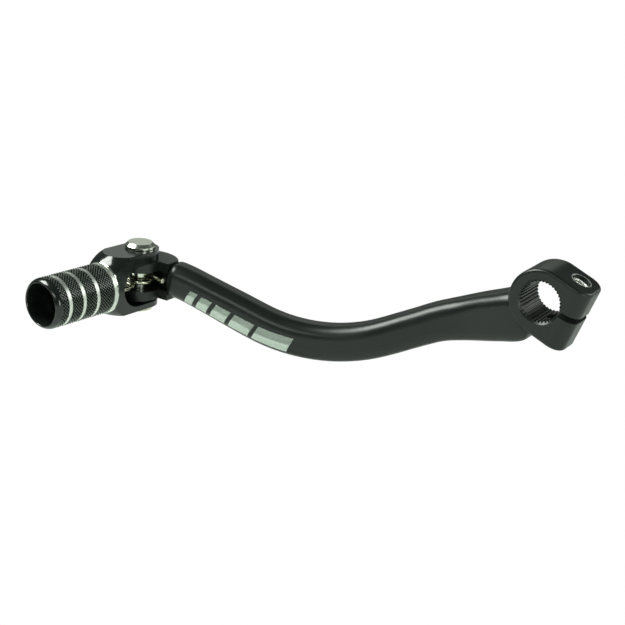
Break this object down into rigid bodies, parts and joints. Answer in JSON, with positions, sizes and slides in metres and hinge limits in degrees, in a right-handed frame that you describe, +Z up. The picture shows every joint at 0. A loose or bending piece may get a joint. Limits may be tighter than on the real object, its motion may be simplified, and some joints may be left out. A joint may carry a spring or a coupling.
{
  "type": "gear shift lever",
  "caption": "Motorcycle gear shift lever: a curved black arm with a splined pinch clamp at one end and a sprung, folding, knurled foot peg with bright rings at the other.",
  "frame": {"origin": "centre of the splined clamp bore, on its axis at mid width", "axes": "+X from the folding tip to the clamp along the lever's length, +Y along the bore axis towards the engine, +Z up"},
  "size_m": [0.1529, 0.0803, 0.037],
  "materials": {
    "satin_black": "satin black anodised aluminium",
    "gloss_black": "gloss black anodised aluminium, bare bright at the ring grooves",
    "stainless": "polished stainless steel",
    "spring_steel": "bright drawn spring wire"
  },
  "bodies": {
    "arm": {"lever_arm": "satin_black", "clamp_end": "satin_black", "torsion_spring": "spring_steel"},
    "tip": {"tip_yoke": "gloss_black", "tip_sleeve": "gloss_black", "pivot_pin": "stainless", "pin_washer": "stainless", "pin_circlip": "spring_steel"}
  },
  "joints": [
    {"name": "fold", "type": "hinge", "parent": "arm", "child": "tip", "pos_m": [-0.126, -0.0322, -0.0009], "axis": [0.1219, 0, 0.9925], "range_deg": [0, 60], "stiffness_Nm_per_rad": 0.15, "springref_deg": -22.92, "deforming": ["torsion_spring"]}
  ]
}
